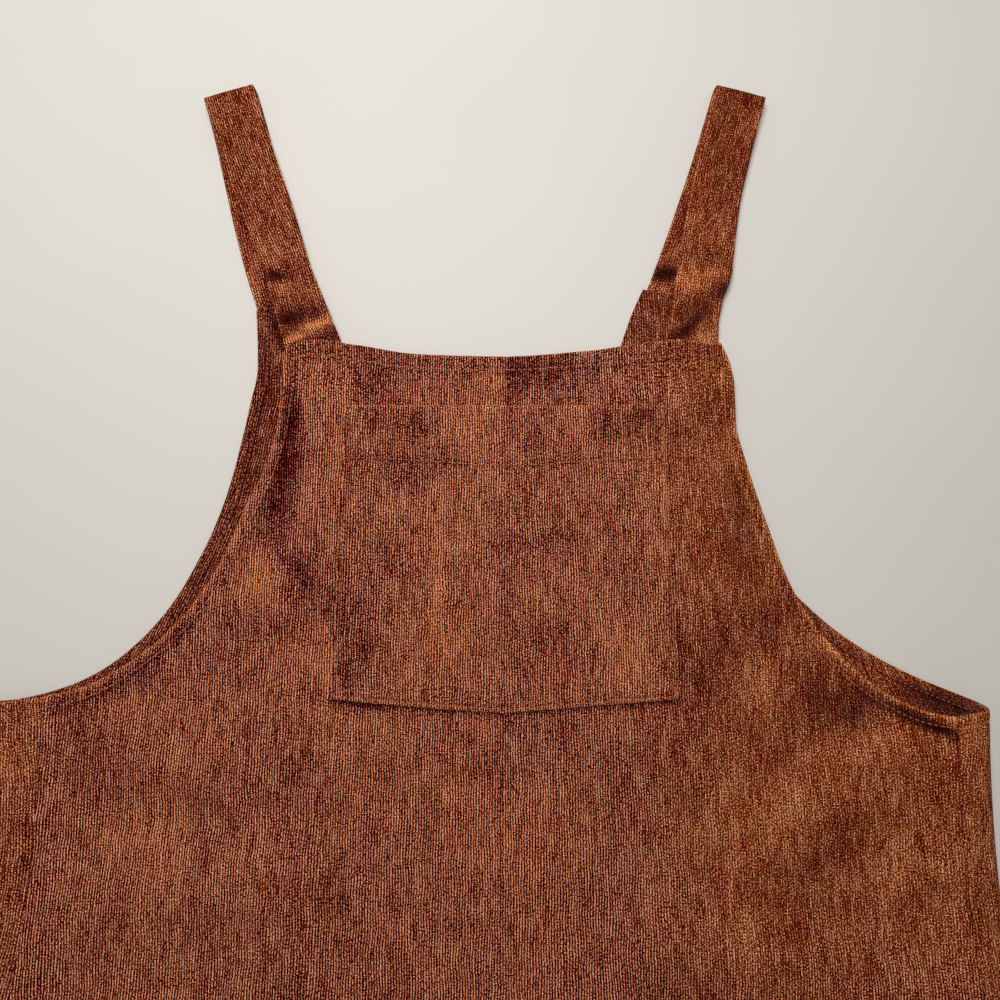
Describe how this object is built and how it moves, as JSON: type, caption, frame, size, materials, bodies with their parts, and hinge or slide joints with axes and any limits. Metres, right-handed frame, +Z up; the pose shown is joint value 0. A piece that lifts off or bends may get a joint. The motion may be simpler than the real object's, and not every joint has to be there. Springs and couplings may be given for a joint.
{
  "type": "bib overalls laid flat",
  "caption": "Loose fine-wale corduroy bib overalls laid flat and face up, with a patch pocket on the bib, wide shoulder straps and straight legs.",
  "frame": {"origin": "middle of the garment's outline, on the surface that it lies on", "axes": "+X to the right of the garment as it is seen face up, +Y from the hems to the shoulders, +Z up from the surface"},
  "size_m": [0.5828, 1.4348, 0.0162],
  "materials": {
    "corduroy": "brushed fine-wale cotton corduroy, rust brown, crushed nap"
  },
  "bodies": {
    "root": {"front_left": "corduroy", "front_right": "corduroy", "back_left": "corduroy", "back_right": "corduroy", "bib_pocket": "corduroy", "strap_left": "corduroy", "strap_right": "corduroy"}
  },
  "joints": []
}
